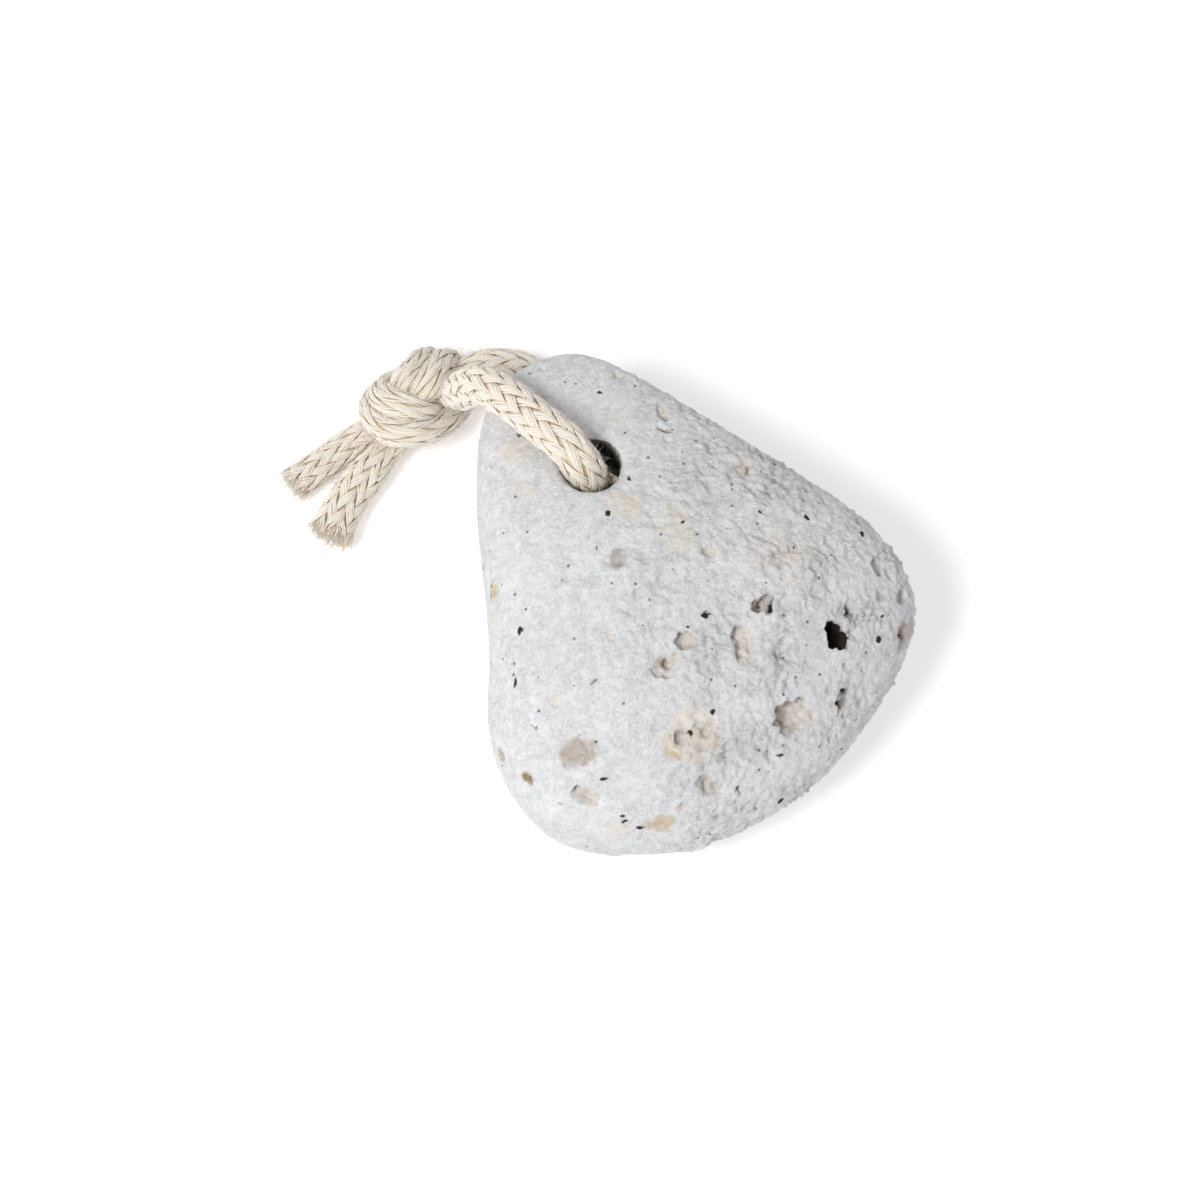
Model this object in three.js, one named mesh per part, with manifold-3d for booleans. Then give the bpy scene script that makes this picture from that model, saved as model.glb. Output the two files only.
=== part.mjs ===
// Pumice stone on a cotton cord.
// The stone is one rounded, water-worn lump, broad at one end and narrow at the other,
// with a hole drilled through the narrow end. A braided cord runs through the hole, and
// both its ends are tied together in one overhand knot beside the stone.
// Millimetres, +Z up. The stone lies on its worn flat, with the origin under its middle.

import * as THREE from 'three';
import { mergeVertices } from 'three/addons/utils/BufferGeometryUtils.js';
import Module from 'manifold-3d';

const wasm = await Module();
wasm.setup();

// ---------------------------------------------------------------- driving dimensions

// the stone, from the ground up
const crown = new THREE.Vector3(-1, -3, 37);   // highest part of the broad end
const narrowTop = 28.5;         // height of the top at the narrow end
const broadWaist = 16;          // height at which the broad end is widest
const narrowWaist = 19.5;       // height at which the narrow end is widest
const wornDepth = 3;            // how much of the rounded belly is worn away flat
const narrowLift = 9.5;         // clear height under the narrow end
const narrowStart = -8;         // where the stone begins to narrow and lift, along Y
const narrowEnd = 34;           // where it is at its full lift
const tipReach = 40;            // how far the narrow end reaches, along Y
const rightFall = 3;            // how much lower the top lies at the right-hand end
const rightFallFrom = 4;
const rightFallTo = 38;

// fullness of the rounded edges: 2 is a true ellipse, more is squarer
const leftEdge = 3.3;
const rightEdge = 2.4;
const narrowEdge = 4.4;
const broadBelly = 2.3;
const narrowBelly = 3.4;

// the drilled hole
const boreRadius = 4.6;
const boreTop = new THREE.Vector3(-16.9, 17.9, 32.4);
const boreDown = new THREE.Vector3(0.05, 0.15, -1).normalize();
const boreLength = 24.5;        // between the two mouths
const topChip = 0.5;            // the rim is broken away by this much on top
const topChipDepth = 1.2;
const bottomChip = 1.5;         // and more underneath, where the drill came out
const bottomChipDepth = 2;
const boreSides = 40;

// the cord and its knot
const cordRadius = 3.15;
const tailRadius = 2.6;         // the two ends are squeezed a little by the knot
const cordSides = 10;
const knotMiddle = new THREE.Vector3(-45.2, 40.4, 7.4);
const knotHalfSize = new THREE.Vector3(10.6, 10.6, 7.2);

const gap = 0.3;                // between pieces that touch

// outline of the stone at its widest, counter-clockwise from the right-hand end
const outlinePoints = [
  [35.4, -3], [34, 4], [30.2, 9.5], [24.2, 14.5], [17.2, 19.4], [10, 24.4], [2.8, 29.3],
  [-5, 34.7], [-12, 39.2], [-18.6, 41.7], [-25, 40.8], [-29.8, 38], [-33.2, 33.4],
  [-35, 27.4], [-35.4, 18], [-34.5, 5.3], [-33.4, -8.7], [-33.4, -20.9],
  [-31.4, -28.8], [-28.4, -34.4], [-23.6, -38.8], [-17.8, -41.1], [-10, -41.7],
  [-1.8, -41], [5.6, -38.2], [14.2, -33.4], [20.2, -28.6], [25, -23.2], [31.4, -13.5],
];

// ---------------------------------------------------------------- shape of the stone

const outlineSteps = 84;
const latitudeSteps = 40;

const mix = THREE.MathUtils.lerp;
const { smoothstep } = THREE.MathUtils;

// 0 on the broad end, 1 on the narrow end
const narrowness = (y) => smoothstep(y, narrowStart, narrowEnd);

const waistAt = (y) => mix(broadWaist, narrowWaist, narrowness(y));

// the top is a low dome that falls towards the narrow end and a little to the right
function topAt(x, y) {
  const narrowFall = crown.z - narrowTop;
  return crown.z
    - narrowFall * smoothstep(y, crown.y, tipReach)
    - rightFall * smoothstep(x, rightFallFrom, rightFallTo);
}

const undersideAt = (y) => mix(-wornDepth, narrowLift, narrowness(y));

// the left side is squarer than the right, and the narrow end keeps its thickness nearly
// to its tip
function edgeFullness(x, y) {
  const side = mix(leftEdge, rightEdge, smoothstep(x, -rightFallTo, -rightFallFrom));
  return mix(side, narrowEdge, narrowness(y));
}
const bellyFullness = (y) => mix(broadBelly, narrowBelly, narrowness(y));

// a point on the stone: outline point seen from the crown, and latitude from -1 to 1
function surfacePoint(rim, latitude) {
  const angle = latitude * Math.PI / 2;
  const fullness = latitude > 0 ? edgeFullness(rim.x, rim.y) : bellyFullness(rim.y);
  const reach = Math.abs(Math.cos(angle)) ** (2 / fullness);
  const rise = Math.abs(Math.sin(angle)) ** (2 / fullness);
  const x = mix(crown.x, rim.x, reach);
  const y = mix(crown.y, rim.y, reach);
  const waist = waistAt(y);
  const far = latitude > 0 ? topAt(x, y) : undersideAt(y);
  return new THREE.Vector3(x, y, mix(waist, far, rise));
}

function pebbleGeometry() {
  const points = outlinePoints.map(([x, y]) => new THREE.Vector3(x, y, 0));
  const outline = new THREE.CatmullRomCurve3(points, true, 'centripetal');
  const rims = outline.getSpacedPoints(outlineSteps).slice(0, outlineSteps);
  const positions = [];
  const faces = [];
  for (let ring = 1; ring < latitudeSteps; ring += 1) {
    const latitude = 1 - 2 * ring / latitudeSteps;
    for (const rim of rims) positions.push(...surfacePoint(rim, latitude).toArray());
  }
  const topPole = positions.length / 3;
  positions.push(...surfacePoint(rims[0], 1).toArray());
  const bottomPole = topPole + 1;
  positions.push(...surfacePoint(rims[0], -1).toArray());
  const rings = latitudeSteps - 1;
  for (let step = 0; step < outlineSteps; step += 1) {
    const next = (step + 1) % outlineSteps;
    faces.push(topPole, step, next);
    for (let ring = 0; ring < rings - 1; ring += 1) {
      const upper = ring * outlineSteps;
      const lower = upper + outlineSteps;
      faces.push(upper + step, lower + step, lower + next);
      faces.push(upper + step, lower + next, upper + next);
    }
    const last = (rings - 1) * outlineSteps;
    faces.push(last + step, bottomPole, last + next);
  }
  const geometry = new THREE.BufferGeometry();
  geometry.setAttribute('position', new THREE.Float32BufferAttribute(positions, 3));
  geometry.setIndex(faces);
  return geometry;
}

// ---------------------------------------------------------------- joining and cutting

function toSolid(geometry) {
  const bare = geometry.clone();
  bare.deleteAttribute('normal');
  bare.deleteAttribute('uv');
  const merged = mergeVertices(bare, 1e-4);
  return new wasm.Manifold(new wasm.Mesh({
    numProp: 3,
    vertProperties: Float32Array.from(merged.attributes.position.array),
    triVerts: Uint32Array.from(merged.index.array),
  }));
}

function toGeometry(solid) {
  const { vertProperties, triVerts } = solid.getMesh();
  const geometry = new THREE.BufferGeometry();
  geometry.setAttribute('position', new THREE.Float32BufferAttribute(vertProperties, 3));
  geometry.setIndex(Array.from(triVerts));
  geometry.computeVertexNormals();
  return geometry;
}

// the tool that drills the hole: straight in the middle, opening out at both mouths
function boreCutter() {
  const over = 8;
  const profile = [
    [0, -over], [boreRadius + bottomChip, -over], [boreRadius + bottomChip, 0],
    [boreRadius, bottomChipDepth], [boreRadius, boreLength - topChipDepth],
    [boreRadius + topChip, boreLength], [boreRadius + topChip, boreLength + over],
    [0, boreLength + over],
  ].map(([radius, height]) => new THREE.Vector2(radius, height));
  const up = boreDown.clone().negate();
  const upright = new THREE.Vector3(0, 1, 0);
  const bottom = boreTop.clone().addScaledVector(boreDown, boreLength);
  return new THREE.LatheGeometry(profile, boreSides)
    .applyQuaternion(new THREE.Quaternion().setFromUnitVectors(upright, up))
    .translate(...bottom.toArray());
}

function stoneGeometry() {
  const wide = 2 * outlinePoints[0][0] + 2 * crown.z;
  const ground = new THREE.BoxGeometry(wide, wide, crown.z).translate(0, 0, -crown.z / 2);
  const stone = toSolid(pebbleGeometry())
    .subtract(toSolid(ground))
    .subtract(toSolid(boreCutter()));
  return toGeometry(stone);
}

// ---------------------------------------------------------------- the cord

// from the knot over the stone's shoulder, down the hole and back along the ground
const loopSteps = 44;
const loopRoute = [
  [-42, 40.4, 9.2], [-39.2, 38.4, 14.8], [-37.2, 36.1, 22], [-34.6, 33.8, 27.8], [-31.2, 30.7, 30.8],
  [-28.1, 27.6, 32.5], [-25.5, 24.7, 33.8], [-23.1, 22.3, 34.8], [-20.7, 19.9, 35.3],
  [-18.7, 17.8, 33.7], [-17.4, 17.1, 30.3], [-16.8, 18, 23.5], [-15.9, 19.2, 16.5],
  [-15.4, 20, 10.2], [-15.3, 21.8, 6.1], [-15.4, 25.4, 4], [-15.9, 30.5, 3.6],
  [-17.4, 35.8, 3.5], [-20.4, 41.2, 3.6], [-24.4, 45.2, 4], [-29, 47.2, 5],
  [-34, 47.2, 6.4], [-39, 45.5, 7.6],
];
// the two cut ends, from inside the knot outwards
const tailSteps = 8;
const tailRoutes = {
  cord_tail_long: [
    [-48.4, 35, 6], [-50.6, 32.6, 4.4], [-53.7, 29.6, 3.7], [-56.5, 25.9, 3.5], [-58.7, 21.8, 3.4],
    [-60.3, 18, 3.3],
  ],
  cord_tail_short: [
    [-51.4, 39, 6.5], [-55.7, 35.6, 4], [-59.3, 33, 3.4], [-63, 30.1, 3.1], [-66.6, 27.2, 2.9],
  ],
};

function cordAlong(route, radius, steps) {
  const points = route.map((point) => new THREE.Vector3(...point));
  const section = new THREE.Shape();
  section.absarc(0, 0, radius, 0, 2 * Math.PI);
  return new THREE.ExtrudeGeometry(section, {
    extrudePath: new THREE.CatmullRomCurve3(points, false, 'centripetal'),
    steps,
    curveSegments: cordSides / 2,
  });
}

// outer shape of the tightened knot, larger by the given margin
function knotGeometry(margin) {
  const round = 28;
  const high = 18;
  return new THREE.SphereGeometry(1, round, high)
    .rotateX(Math.PI / 2)
    .scale(knotHalfSize.x + margin, knotHalfSize.y + margin, knotHalfSize.z + margin)
    .translate(...knotMiddle.toArray());
}

// a length of cord that stops just short of the knot
const upToKnot = (geometry) => toGeometry(toSolid(geometry).subtract(toSolid(knotGeometry(gap))));

// ---------------------------------------------------------------- assembly

const pumice = new THREE.MeshStandardMaterial({ color: 0xd8d8d9, roughness: 0.95, metalness: 0 });
const cotton = new THREE.MeshStandardMaterial({ color: 0xe2d8ca, roughness: 0.9, metalness: 0 });

function piece(name, geometry, material) {
  const mesh = new THREE.Mesh(geometry, material.clone());
  mesh.name = name;
  return mesh;
}

const part = new THREE.Group();
part.add(piece('pumice_stone', stoneGeometry(), pumice));
part.add(piece('cord_loop', upToKnot(cordAlong(loopRoute, cordRadius, loopSteps)), cotton));
part.add(piece('cord_knot', knotGeometry(0), cotton));
for (const [name, route] of Object.entries(tailRoutes)) {
  part.add(piece(name, upToKnot(cordAlong(route, tailRadius, tailSteps)), cotton));
}

export default part;
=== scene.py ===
import math

import bpy
import numpy as np
from mathutils import Matrix, Vector, noise
from mathutils.bvhtree import BVHTree
from mathutils.kdtree import KDTree


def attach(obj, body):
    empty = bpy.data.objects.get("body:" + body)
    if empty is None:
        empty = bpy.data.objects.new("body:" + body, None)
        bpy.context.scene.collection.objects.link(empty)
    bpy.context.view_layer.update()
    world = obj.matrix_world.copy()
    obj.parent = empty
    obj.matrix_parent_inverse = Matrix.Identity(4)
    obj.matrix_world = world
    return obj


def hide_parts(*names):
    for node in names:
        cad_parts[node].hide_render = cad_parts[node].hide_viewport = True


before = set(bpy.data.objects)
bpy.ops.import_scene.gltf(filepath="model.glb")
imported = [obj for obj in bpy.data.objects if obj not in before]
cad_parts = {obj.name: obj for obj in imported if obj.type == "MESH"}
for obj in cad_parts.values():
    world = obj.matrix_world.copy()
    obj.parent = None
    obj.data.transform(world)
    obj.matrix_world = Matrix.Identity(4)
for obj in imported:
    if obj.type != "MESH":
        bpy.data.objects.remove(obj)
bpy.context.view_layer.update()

# ---- Camera -------------------------------------------------------------------------------------
# The part lies on a table and is looked down on from the front, steeply, from 0.7 m away. The
# lens is long, so that the sides of the stone hardly converge.
view_height = math.radians(68)
view_distance = 0.7
view_centre = Vector((-0.0155, 0.0009, 0.0164))
camera_data = bpy.data.cameras.new("camera")
camera_data.sensor_width = 36
camera_data.lens = 129.6
camera = bpy.data.objects.new("camera", camera_data)
bpy.context.collection.objects.link(camera)
towards_camera = Vector((0, -math.cos(view_height), math.sin(view_height)))
camera.location = view_centre + view_distance * towards_camera
camera.rotation_euler = (math.pi / 2 - view_height, 0, 0)
bpy.context.scene.camera = camera

# ---- Table and light ----------------------------------------------------------------------------
# A wide white table top under soft studio light: one large lamp stands to the front left, and a
# bright white room fills the shadows.
bpy.ops.object.select_all(action="DESELECT")
bpy.ops.mesh.primitive_plane_add(size=6, location=(0, 0, 0))
table_top = bpy.context.object
table_top.name = "table_top"
table_finish = bpy.data.materials.new("white table top")
table_finish.use_nodes = True
table_shader = table_finish.node_tree.nodes["Principled BSDF"]
table_shader.inputs["Base Color"].default_value = (0.82, 0.82, 0.82, 1)
table_shader.inputs["Roughness"].default_value = 0.9
table_shader.inputs["Emission Color"].default_value = (1, 1, 1, 1)
table_shader.inputs["Emission Strength"].default_value = 0.34
table_top.data.materials.append(table_finish)


def add_lamp(name, place, target, width, power, colour):
    lamp = bpy.data.lights.new(name, "AREA")
    lamp.shape = "DISK"
    lamp.size = width
    lamp.energy = power
    lamp.color = colour
    stand = bpy.data.objects.new(name, lamp)
    bpy.context.collection.objects.link(stand)
    stand.location = place
    stand.rotation_euler = (Vector(target) - Vector(place)).to_track_quat("-Z", "Y").to_euler()


add_lamp("main_lamp", (-0.52, -0.45, 1.06), (-0.01, 0, 0.015), 0.40, 9.6, (1, 0.995, 0.985))
room = bpy.data.worlds.new("bright room")
room.use_nodes = True
room.node_tree.nodes["Background"].inputs["Color"].default_value = (0.985, 0.985, 1, 1)
room.node_tree.nodes["Background"].inputs["Strength"].default_value = 0.57
bpy.context.scene.world = room
bpy.context.scene.view_settings.view_transform = "Standard"

# ---- Cord: its route ----------------------------------------------------------------------------
# One length of natural cotton cord is threaded through the stone. Its doubled ends are tied in
# one overhand knot, drawn tight, and cut off short beyond it.
cord_radius = 0.00325
knot_radius = 0.00255
short_tail_radius = 0.00272
loop_route = [
    (-0.0420, 0.0404, 0.0092), (-0.0392, 0.0384, 0.0148), (-0.0372, 0.0361, 0.0220),
    (-0.0346, 0.0338, 0.0278), (-0.0312, 0.0307, 0.0308), (-0.0281, 0.0276, 0.0325),
    (-0.0255, 0.0247, 0.0338), (-0.0231, 0.0223, 0.0348), (-0.0207, 0.0199, 0.0353),
    (-0.0187, 0.0178, 0.0337), (-0.0174, 0.0171, 0.0303), (-0.0168, 0.0180, 0.0235),
    (-0.0159, 0.0192, 0.0165), (-0.0154, 0.0200, 0.0102), (-0.0153, 0.0218, 0.0061),
    (-0.0154, 0.0254, 0.0040), (-0.0159, 0.0305, 0.0036), (-0.0174, 0.0358, 0.0035),
    (-0.0204, 0.0412, 0.0036), (-0.0244, 0.0452, 0.0040), (-0.0290, 0.0472, 0.0050),
    (-0.0340, 0.0472, 0.0064), (-0.0390, 0.0455, 0.0076),
]
short_tail_route = [
    (-0.0557, 0.0353, 0.0038), (-0.0593, 0.0328, 0.0033), (-0.0630, 0.0300, 0.0030),
    (-0.0666, 0.0272, 0.0028),
]
long_tail_route = [
    (-0.0537, 0.0298, 0.0037), (-0.0565, 0.0259, 0.0035), (-0.0587, 0.0218, 0.0034),
    (-0.0603, 0.0180, 0.0033),
]
# from the short tail round the knot to the front of the loop
inner_turn_route = [
    (-0.0524, 0.0369, 0.0046), (-0.0503, 0.0384, 0.0070), (-0.0488, 0.0396, 0.0102),
    (-0.0475, 0.0414, 0.0122), (-0.0461, 0.0446, 0.0108), (-0.0445, 0.0475, 0.0070),
    (-0.0430, 0.0473, 0.0040), (-0.0424, 0.0453, 0.0029), (-0.0423, 0.0432, 0.0030),
    (-0.0428, 0.0412, 0.0048), (-0.0444, 0.0389, 0.0082), (-0.0464, 0.0374, 0.0113),
    (-0.0484, 0.0375, 0.0124), (-0.0501, 0.0388, 0.0112), (-0.0511, 0.0414, 0.0086),
    (-0.0495, 0.0436, 0.0068), (-0.0466, 0.0436, 0.0066), (-0.0433, 0.0424, 0.0084),
    (-0.0408, 0.0410, 0.0100),
]
# from the long tail round the knot to the back of the loop
outer_turn_route = [
    (-0.0497, 0.0350, 0.0046), (-0.0480, 0.0369, 0.0064), (-0.0464, 0.0382, 0.0096),
    (-0.0448, 0.0400, 0.0122), (-0.0433, 0.0429, 0.0120), (-0.0420, 0.0460, 0.0090),
    (-0.0406, 0.0469, 0.0054), (-0.0394, 0.0458, 0.0034), (-0.0386, 0.0434, 0.0030),
    (-0.0396, 0.0416, 0.0036), (-0.0408, 0.0393, 0.0056), (-0.0428, 0.0370, 0.0082),
    (-0.0452, 0.0348, 0.0098), (-0.0479, 0.0333, 0.0104), (-0.0505, 0.0337, 0.0100),
    (-0.0526, 0.0365, 0.0092), (-0.0531, 0.0397, 0.0078), (-0.0514, 0.0428, 0.0062),
    (-0.0475, 0.0450, 0.0058), (-0.0433, 0.0462, 0.0060), (-0.0398, 0.0456, 0.0074),
]
knot_centre = np.array([-0.0455, 0.0392, 0.0070])
knot_reach = 0.0120
knot_fade = 0.005
# half the room a turn takes up beside the knot and inside it
free_room = 0.00300
squeezed_room = 0.00184
# stretches nearer to each other than this along the cord are neighbours, not two turns
own_stretch = 0.0065


def evenly(line, step):
    """The same line as evenly spaced points."""
    gaps = np.linalg.norm(np.diff(line, axis=0), axis=1)
    along = np.concatenate([[0], np.cumsum(gaps)])
    places = np.linspace(0, along[-1], round(along[-1] / step) + 1)
    return np.stack([np.interp(places, along, line[:, axis]) for axis in range(3)], axis=-1)


def smooth_line(points, step):
    """A smooth curve through the points, as evenly spaced points."""
    points = np.array(points, dtype=float)
    points = np.vstack([2 * points[0] - points[1], points, 2 * points[-1] - points[-2]])
    parts = []
    for a, b, c, d in zip(points[:-3], points[1:-2], points[2:-1], points[3:]):
        t1 = np.linalg.norm(b - a) ** 0.5
        t2 = t1 + np.linalg.norm(c - b) ** 0.5
        t3 = t2 + np.linalg.norm(d - c) ** 0.5
        t = np.linspace(t1, t2, 16, endpoint=False)[:, None]
        ab = ((t1 - t) * a + t * b) / t1
        bc = ((t2 - t) * b + (t - t1) * c) / (t2 - t1)
        cd = ((t3 - t) * c + (t - t2) * d) / (t3 - t2)
        abc = ((t2 - t) * ab + t * bc) / t2
        bcd = ((t3 - t) * bc + (t - t1) * cd) / (t3 - t1)
        parts.append(((t2 - t) * abc + (t - t1) * bcd) / (t2 - t1))
    parts.append(points[-2:-1])
    return evenly(np.vstack(parts), step)


def in_knot(line):
    """1 on the stretches that lie in the knot, running out softly to 0 beside it."""
    inside = (np.linalg.norm(line - knot_centre, axis=1) < knot_reach).astype(float)
    spacing = np.linalg.norm(line[1] - line[0])
    width = max(3, round(knot_fade / spacing))
    return np.convolve(np.pad(inside, width, mode="edge"), np.ones(width) / width, "same")[width:-width]


def settle_turns(line, rounds=260):
    """Lets the turns of the knot slide past each other until they lie side by side."""
    start = line.copy()
    spacing = np.linalg.norm(np.diff(line, axis=0), axis=1).mean()
    free = np.clip(in_knot(line), 0, 1)[:, None]
    radius = free_room - (free_room - squeezed_room) * free[:, 0]
    first, second = np.triu_indices(len(line), k=round(own_stretch / spacing))
    least = 0.94 * (radius[first] + radius[second])
    for _ in range(rounds):
        # the cord stiffens against sharp bends, and keeps near its route
        middle = (line[:-2] + line[2:]) / 2
        line[1:-1] += 0.06 * (middle - line[1:-1]) * (free[1:-1] > 0)
        line += 0.10 * (start - line) * (free > 0)
        # turns that are too close push each other away
        apart = line[first] - line[second]
        distance = np.linalg.norm(apart, axis=1)
        close = np.nonzero(distance < least)[0]
        push = apart[close] * (0.35 * (least[close] / distance[close] - 1))[:, None]
        total = np.zeros_like(line)
        touches = np.zeros(len(line))
        np.add.at(total, first[close], push)
        np.add.at(total, second[close], -push)
        np.add.at(touches, first[close], 1)
        np.add.at(touches, second[close], 1)
        line += 1.5 * total / np.maximum(touches, 1)[:, None] * (free > 0)
        # and the length of the cord stays the same
        for _ in range(3):
            gap = line[1:] - line[:-1]
            size = np.linalg.norm(gap, axis=1)[:, None]
            change = 0.25 * gap * (1 - spacing / size)
            line[:-1] += change * (free[:-1] > 0)
            line[1:] -= change * (free[1:] > 0)
        line[:, 2] = np.maximum(line[:, 2], radius)
    return line


route_step = 0.001
line_step = 0.0005
cord_line = smooth_line(
    short_tail_route[::-1] + inner_turn_route + loop_route[1:-1]
    + outer_turn_route[::-1] + long_tail_route,
    route_step,
)
cord_line = settle_turns(cord_line)
cord_line = smooth_line(cord_line[::2], line_step)
for _ in range(12):
    cord_line[1:-1] += 0.5 * ((cord_line[:-2] + cord_line[2:]) / 2 - cord_line[1:-1])
cord_line = evenly(cord_line, line_step)

# ---- Cord: its braid ----------------------------------------------------------------------------
# Twenty-four flat strands, twelve winding each way, pass over two and under two. Each strand is
# four soft-spun cotton yarns side by side, laid over a plain cotton core.
strand_count = 12
strands_per_piece = 6
yarns_per_strand = 4
yarn_sides = 5
yarn_radius = 0.00021
yarn_spacing = 0.00036
braid_radius = 0.00268
braid_lift = 0.00029
strand_crown = 0.00022
strand_sway = 0.38
braid_pitch = 0.049
knot_pitch = 0.075
core_radius = 0.00244
yarn_step = 0.00058
rng = np.random.default_rng(7)

count = len(cord_line)
spacing = np.linalg.norm(np.diff(cord_line, axis=0), axis=1).mean()
cord_length = spacing * (count - 1)
forward = np.gradient(cord_line, axis=0)
forward /= np.linalg.norm(forward, axis=1)[:, None]
side = np.zeros_like(cord_line)
side[0] = np.cross(forward[0], (0, 0, 1))
side[0] /= np.linalg.norm(side[0])
for i in range(1, count):
    carried = side[i - 1] - forward[i] * np.dot(side[i - 1], forward[i])
    side[i] = carried / np.linalg.norm(carried)
other_side = np.cross(forward, side)

knotted = in_knot(cord_line)
along = np.arange(count) * spacing
thickness = 1 - (1 - knot_radius / cord_radius) * knotted
short_tail_length = 0.030
short_part = np.clip((short_tail_length - along) / 0.008, 0, 1)
thickness = np.minimum(thickness, 1 - (1 - short_tail_radius / cord_radius) * short_part)
pitch = braid_pitch + (knot_pitch - braid_pitch) * knotted
turning = np.concatenate([[0], np.cumsum(2 * math.pi * spacing / pitch[:-1])])

# how tightly the line bends, and towards which side
bend = np.gradient(forward, axis=0) / spacing
bend_size = np.linalg.norm(bend, axis=1)
bend_towards = bend / np.maximum(bend_size, 1e-6)[:, None]
bend_radius = 1 / np.maximum(bend_size, 1)

# where another stretch of the cord presses, the two share the room between them
contact_reach = 0.0066
most_contacts = 4
own_points = round(own_stretch / spacing)
press_planes = []
for i in range(count):
    gap = cord_line - cord_line[i]
    distance = np.linalg.norm(gap, axis=1)
    distance[max(0, i - own_points):i + own_points + 1] = 1
    ends = np.concatenate([[1], distance, [1]])
    nearest = np.nonzero((ends[1:-1] < ends[:-2]) & (ends[1:-1] <= ends[2:]))[0]
    nearest = [j for j in nearest if distance[j] < contact_reach]
    nearest.sort(key=lambda j: distance[j])
    press_planes.append([(gap[j] / distance[j], distance[j] / 2) for j in nearest[:most_contacts]])
press_normal = np.zeros((count, most_contacts, 3))
press_reach = np.full((count, most_contacts), 1.0)
for i, planes in enumerate(press_planes):
    for k, (normal, reach) in enumerate(planes):
        press_normal[i, k] = normal
        press_reach[i, k] = reach


def lay_on_cord(s, angle, radius, margin):
    """Points at a distance along the cord, an angle round it and a radius, pressed into shape."""
    inside = np.clip(s, 0, cord_length)
    at = inside / spacing
    low = np.minimum(at.astype(int), count - 2)
    part = (at - low)[:, None]
    centre = cord_line[low] * (1 - part) + cord_line[low + 1] * part
    across = side[low] * (1 - part) + side[low + 1] * part
    up = other_side[low] * (1 - part) + other_side[low + 1] * part
    centre = centre + forward[low] * (s - inside)[:, None]
    nearest = np.round(at).astype(int)
    size = (thickness[nearest] * radius)[:, None]
    offset = size * (np.cos(angle)[:, None] * across + np.sin(angle)[:, None] * up)
    inwards = np.sum(offset * bend_towards[nearest], axis=1)
    most = 0.8 * bend_radius[nearest]
    extra = np.maximum(inwards - most, 0) * 0.9
    offset -= extra[:, None] * bend_towards[nearest]
    pressed = np.zeros(len(s))
    for k in range(most_contacts):
        normal = press_normal[nearest, k]
        beyond = np.sum(offset * normal, axis=1) - (press_reach[nearest, k] - margin)
        beyond = np.maximum(beyond, 0)
        offset -= beyond[:, None] * normal
        pressed = np.maximum(pressed, beyond)
    points = centre + offset
    points[:, 2] = np.maximum(points[:, 2], margin)
    return points, centre, pressed


def tube_points(path, outward, sides, across, through):
    """Rings round a path. The section is wide across and thin through."""
    run = np.gradient(path, axis=0)
    run /= np.maximum(np.linalg.norm(run, axis=1), 1e-9)[:, None]
    outward = outward - run * np.sum(outward * run, axis=1)[:, None]
    outward /= np.maximum(np.linalg.norm(outward, axis=1), 1e-9)[:, None]
    beside = np.cross(run, outward)
    turn = np.arange(sides) * 2 * math.pi / sides
    ring = (np.cos(turn)[None, :, None] * outward[:, None] * through[:, None, None]
            + np.sin(turn)[None, :, None] * beside[:, None] * across[:, None, None])
    return path[:, None] + ring


def mesh_of_tubes(name, tubes, values, lengths):
    """One mesh of closed tubes, with a depth value at each point and a map along each tube."""
    rings, sides = tubes[0].shape[:2]
    points = np.concatenate([tube.reshape(-1, 3) for tube in tubes])
    ring, corner = np.meshgrid(np.arange(rings - 1), np.arange(sides), indexing="ij")
    ring, corner = ring.ravel(), corner.ravel()
    after = (corner + 1) % sides
    quads = np.stack([ring * sides + corner, ring * sides + after,
                      (ring + 1) * sides + after, (ring + 1) * sides + corner], axis=-1)
    first_cap = np.arange(sides)[::-1]
    last_cap = (rings - 1) * sides + np.arange(sides)
    per_tube = rings * sides
    corners = []
    for k in range(len(tubes)):
        corners.append((quads + k * per_tube).ravel())
        corners.append(first_cap + k * per_tube)
        corners.append(last_cap + k * per_tube)
    corners = np.concatenate(corners)
    face_sizes = np.tile(np.concatenate([np.full(len(quads), 4), [sides, sides]]), len(tubes))
    mesh = bpy.data.meshes.new(name)
    mesh.vertices.add(len(points))
    mesh.vertices.foreach_set("co", points.ravel())
    mesh.loops.add(len(corners))
    mesh.loops.foreach_set("vertex_index", corners.astype(np.int32))
    mesh.polygons.add(len(face_sizes))
    starts = np.concatenate([[0], np.cumsum(face_sizes)[:-1]])
    mesh.polygons.foreach_set("loop_start", starts.astype(np.int32))
    mesh.update(calc_edges=True)
    mesh.validate()
    depth = mesh.attributes.new("depth", "FLOAT", "POINT")
    depth.data.foreach_set("value", np.repeat(np.concatenate(values), sides))
    round_it = np.stack([corner, after, after, corner], axis=-1) / sides
    round_it[:, 1:3] = (corner[:, None] + 1) / sides
    ring_pair = np.stack([ring, ring, ring + 1, ring + 1], axis=-1)
    maps = []
    for k, length in enumerate(lengths):
        place = ring_pair * (length / (rings - 1)) + 0.37 * k
        maps.append(np.stack([place, round_it], axis=-1).reshape(-1, 2))
        maps.append(np.zeros((2 * sides, 2)))
    uv = mesh.uv_layers.new(name="along_yarn")
    uv.data.foreach_set("uv", np.concatenate(maps).ravel())
    for polygon in mesh.polygons:
        polygon.use_smooth = True
    piece = bpy.data.objects.new(name, mesh)
    bpy.context.collection.objects.link(piece)
    return piece


# the stretch of cord down in the drilled hole: where its middle is, how wide, and its two ends
hole_middle = np.array([-0.0164, 0.0190])
hole_reach = 0.0075
hole_high = 0.0315
hole_low = 0.009
hole_fade = 0.003


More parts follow.
